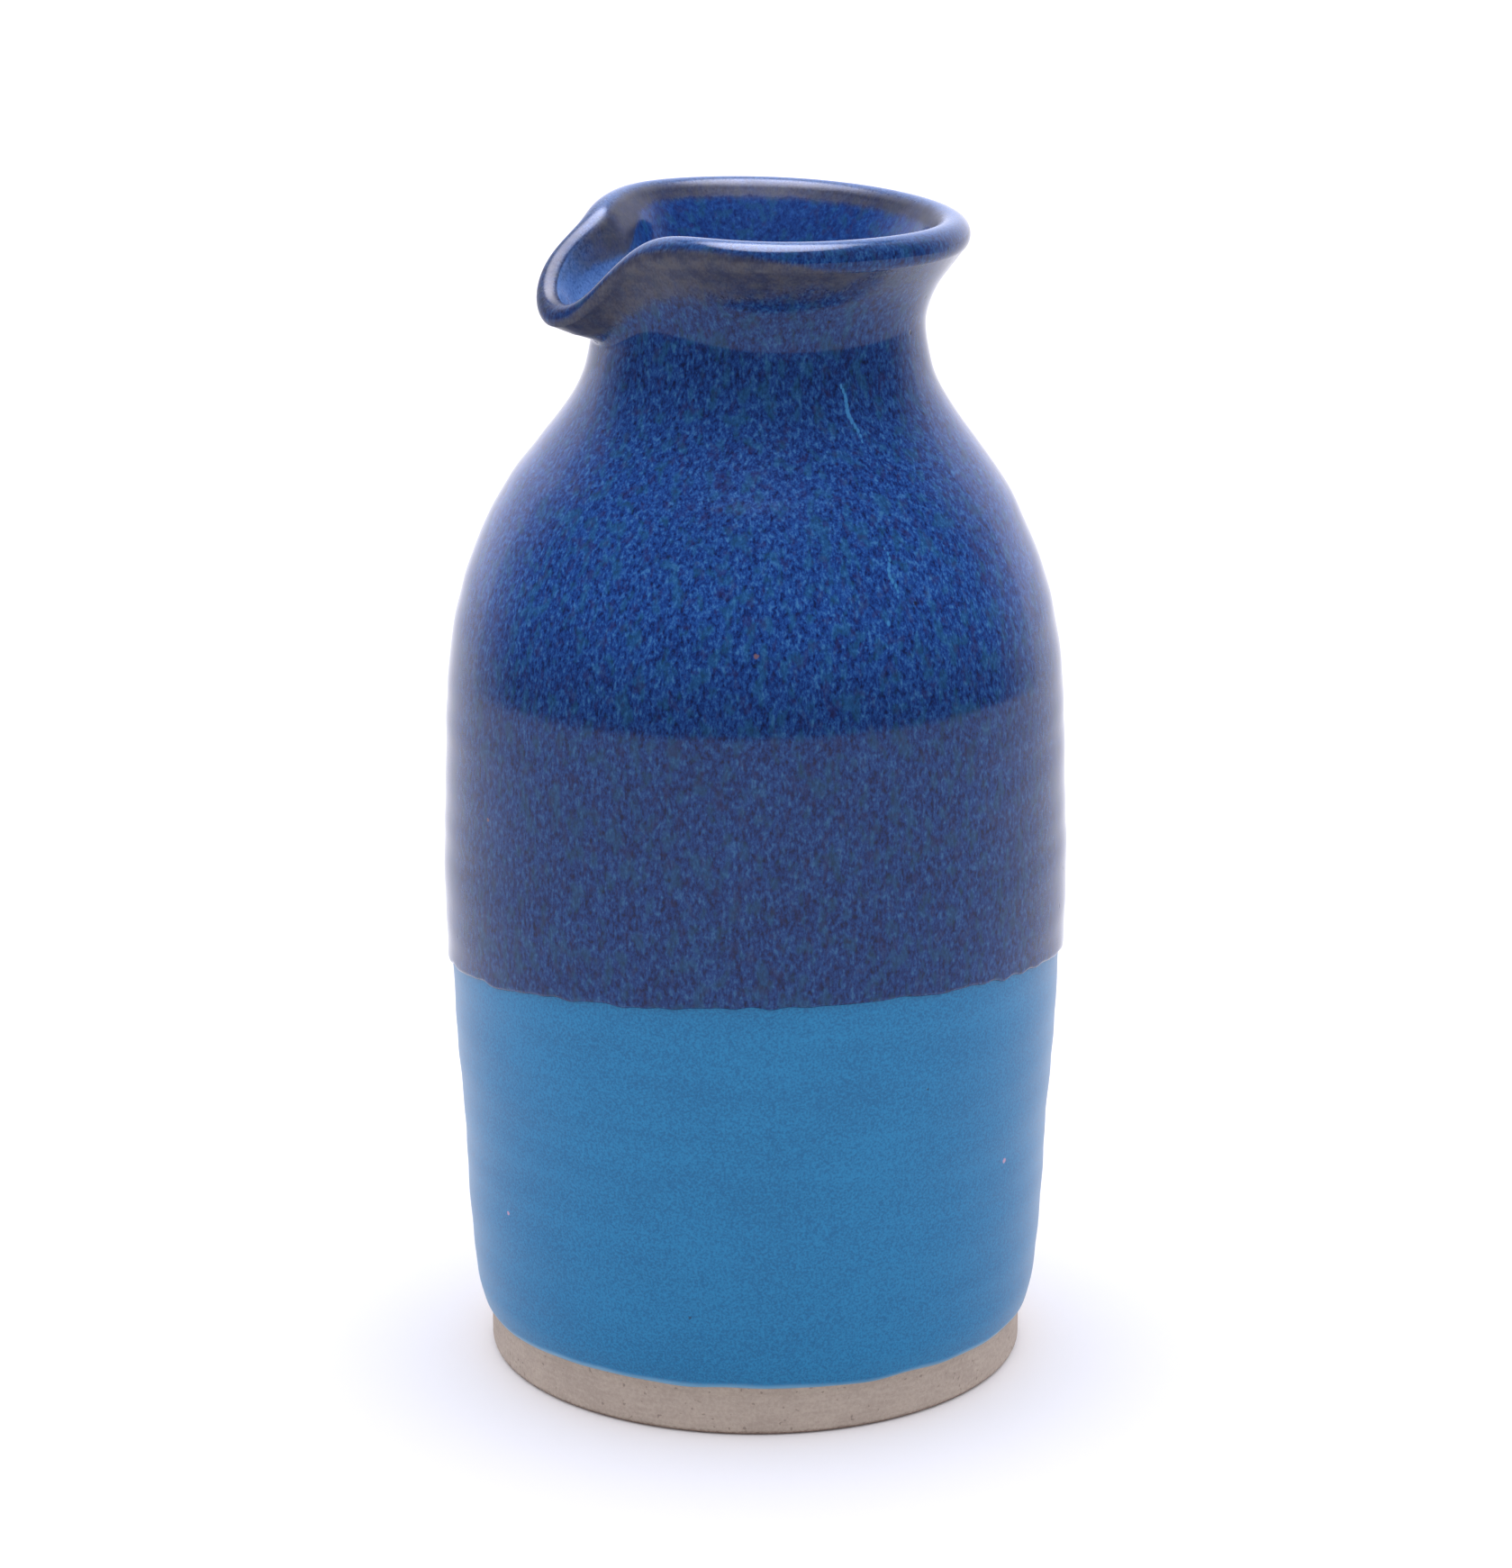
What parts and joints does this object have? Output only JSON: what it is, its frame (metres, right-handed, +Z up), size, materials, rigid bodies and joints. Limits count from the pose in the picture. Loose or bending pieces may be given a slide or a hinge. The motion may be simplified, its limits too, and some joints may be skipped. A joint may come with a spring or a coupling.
{
  "type": "ceramic pitcher",
  "caption": "Bottle-shaped stoneware pourer with a rolled rim, a short pulled spout, a bare clay foot, a turquoise lower coat and a mottled blue upper coat.",
  "frame": {"origin": "on the resting plane, under the centre of the pot's box", "axes": "+Z up along the pot's axis; the spout points along -X"},
  "size_m": [0.0914, 0.0914, 0.1712],
  "materials": {
    "stoneware": "bare fired stoneware, matt, fine grained, buff to warm grey",
    "turquoise_glaze": "satin to gloss turquoise glaze, even, with faint throwing rings under it",
    "blue_glaze": "glossy mottled deep blue glaze that breaks to olive brown on the edges",
    "liner_glaze": "glossy streaked blue glaze"
  },
  "bodies": {
    "root": {"stoneware_body": "stoneware", "turquoise_glaze": "turquoise_glaze", "blue_glaze": "blue_glaze", "liner_glaze": "liner_glaze"}
  },
  "joints": []
}
